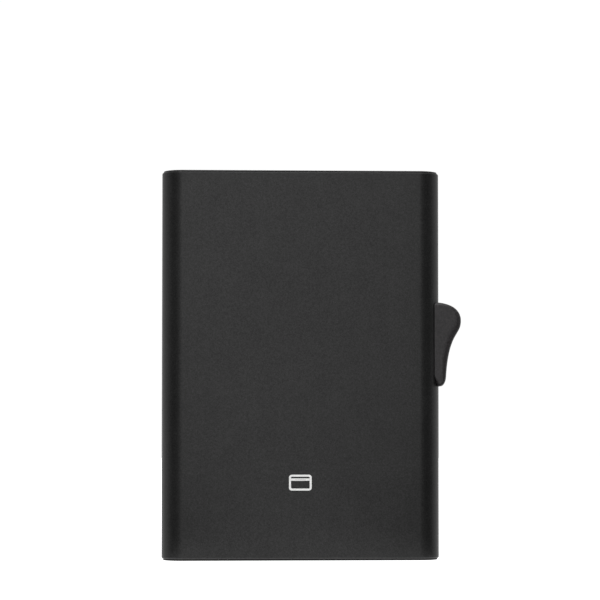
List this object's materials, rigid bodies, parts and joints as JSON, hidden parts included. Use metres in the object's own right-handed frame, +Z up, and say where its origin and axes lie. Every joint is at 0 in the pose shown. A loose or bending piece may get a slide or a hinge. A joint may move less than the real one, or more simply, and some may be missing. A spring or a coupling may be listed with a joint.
{
  "type": "minimalist wallet",
  "caption": "Slim aluminium card sleeve with an open top and a thumb lever on one side, which slides up and swings a stepped arm that fans the cards out.",
  "frame": {"origin": "centre of the bottom face, on the underside of the bottom cap", "axes": "+X towards the thumb lever, -Y the front, +Z up out of the card mouth"},
  "size_m": [0.0744, 0.0116, 0.0965],
  "materials": {
    "sleeve": "satin",
    "end_plastic": "satin",
    "slide_plastic": "satin",
    "lever_plastic": "satin",
    "pin_steel": "satin",
    "spring_steel": "satin",
    "felt": "matte"
  },
  "bodies": {
    "housing": {"case": "sleeve", "top_collar": "end_plastic", "bottom_cap": "end_plastic", "left_guide": "end_plastic", "right_rail": "end_plastic", "leaf_spring_left": "spring_steel", "leaf_spring_right": "spring_steel", "felt_left": "felt", "felt_right": "felt", "cap_screw_left": "pin_steel", "cap_screw_right": "pin_steel", "arm_pivot_pin": "pin_steel"},
    "lever": {"thumb_lever": "lever_plastic", "slider": "slide_plastic", "bow_spring": "spring_steel", "drive_pin": "pin_steel"},
    "arm": {"ejector_arm": "slide_plastic"}
  },
  "joints": [
    {"name": "lever_slide", "type": "slide", "parent": "housing", "child": "lever", "axis": [0, 0, 1], "range_m": [0, 0.02]},
    {"name": "arm_swing", "type": "hinge", "parent": "housing", "child": "arm", "pos_m": [-0.026, 0, 0.0068], "axis": [0, -1, 0], "range_deg": [0, 21.63]}
  ],
  "couplings": [
    {"joint": "arm_swing", "follows": "lever_slide", "rad_per_m": 18.868}
  ]
}
